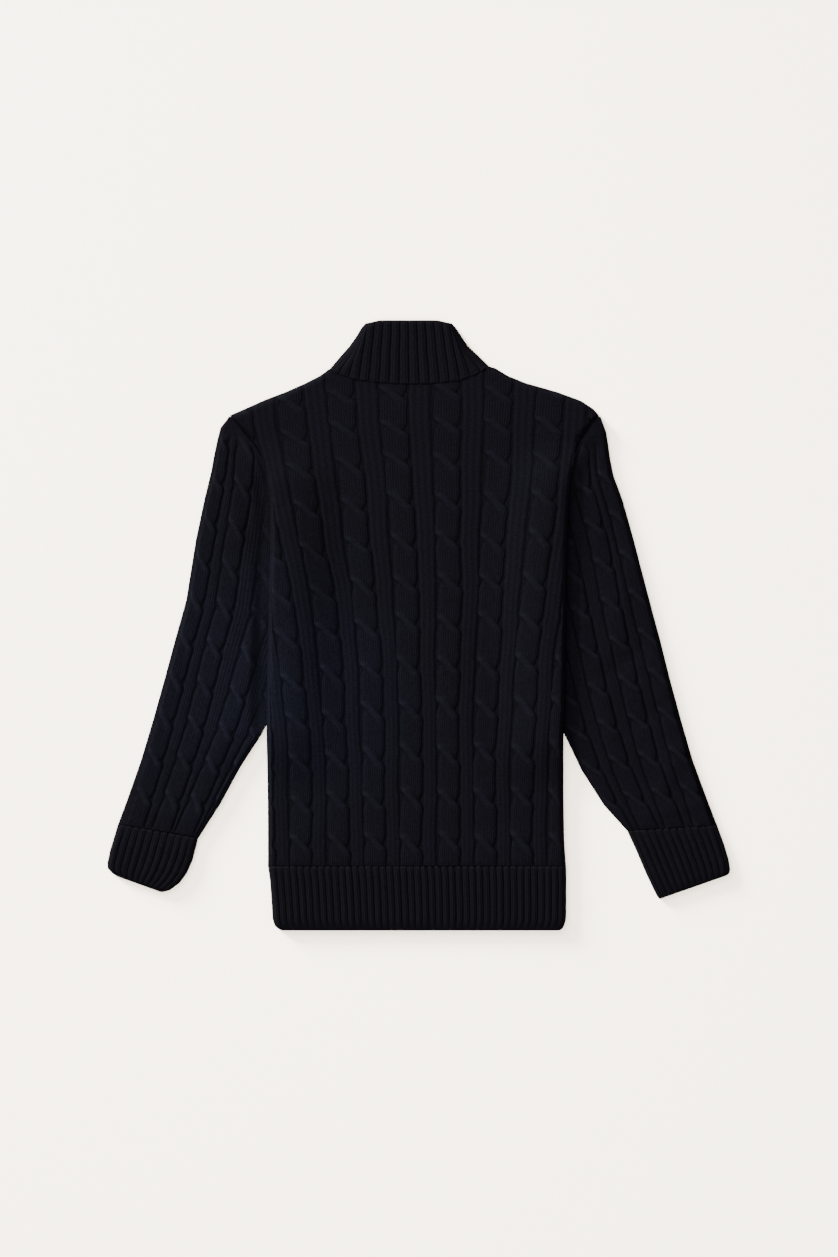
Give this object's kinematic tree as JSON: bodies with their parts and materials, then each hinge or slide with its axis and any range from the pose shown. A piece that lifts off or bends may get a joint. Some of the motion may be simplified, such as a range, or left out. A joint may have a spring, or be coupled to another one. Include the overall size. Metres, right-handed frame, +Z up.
{
  "type": "half-zip sweater",
  "caption": "Cable-knit half-zip sweater laid flat with its back up: raised cables, ribbed funnel collar, cuffs and hem, and a zip with a swinging pull tab under it",
  "frame": {"origin": "middle of the bounding box in plan, on the surface that the garment lies on", "axes": "+Y from the hem to the collar, +X from the wearer's left sleeve to the right one, +Z up from the surface"},
  "size_m": [0.7783, 0.7615, 0.0169],
  "materials": {
    "knit": "soft matt cable knit, very dark navy",
    "rib_knit": "soft matt rib knit, very dark navy",
    "zip_tape": "woven tape, dark navy",
    "zip_metal": "nickel plated, satin"
  },
  "bodies": {
    "garment": {"back_panel": "knit", "front_panel": "knit", "hem_rib": "rib_knit", "sleeve_left": "knit", "sleeve_right": "knit", "cuff_left": "rib_knit", "cuff_right": "rib_knit", "collar": "rib_knit", "zip_tape_left": "zip_tape", "zip_tape_right": "zip_tape", "zip_chain": "zip_metal", "zip_stop": "zip_metal", "slider": "zip_metal"},
    "zip_pull": {"pull_tab": "zip_metal"}
  },
  "joints": [
    {"name": "pull_tab_swing", "type": "hinge", "parent": "garment", "child": "zip_pull", "pos_m": [-0.0125, 0.3615, 0.0012], "axis": [1, 0, 0], "range_deg": [0, 170]}
  ]
}
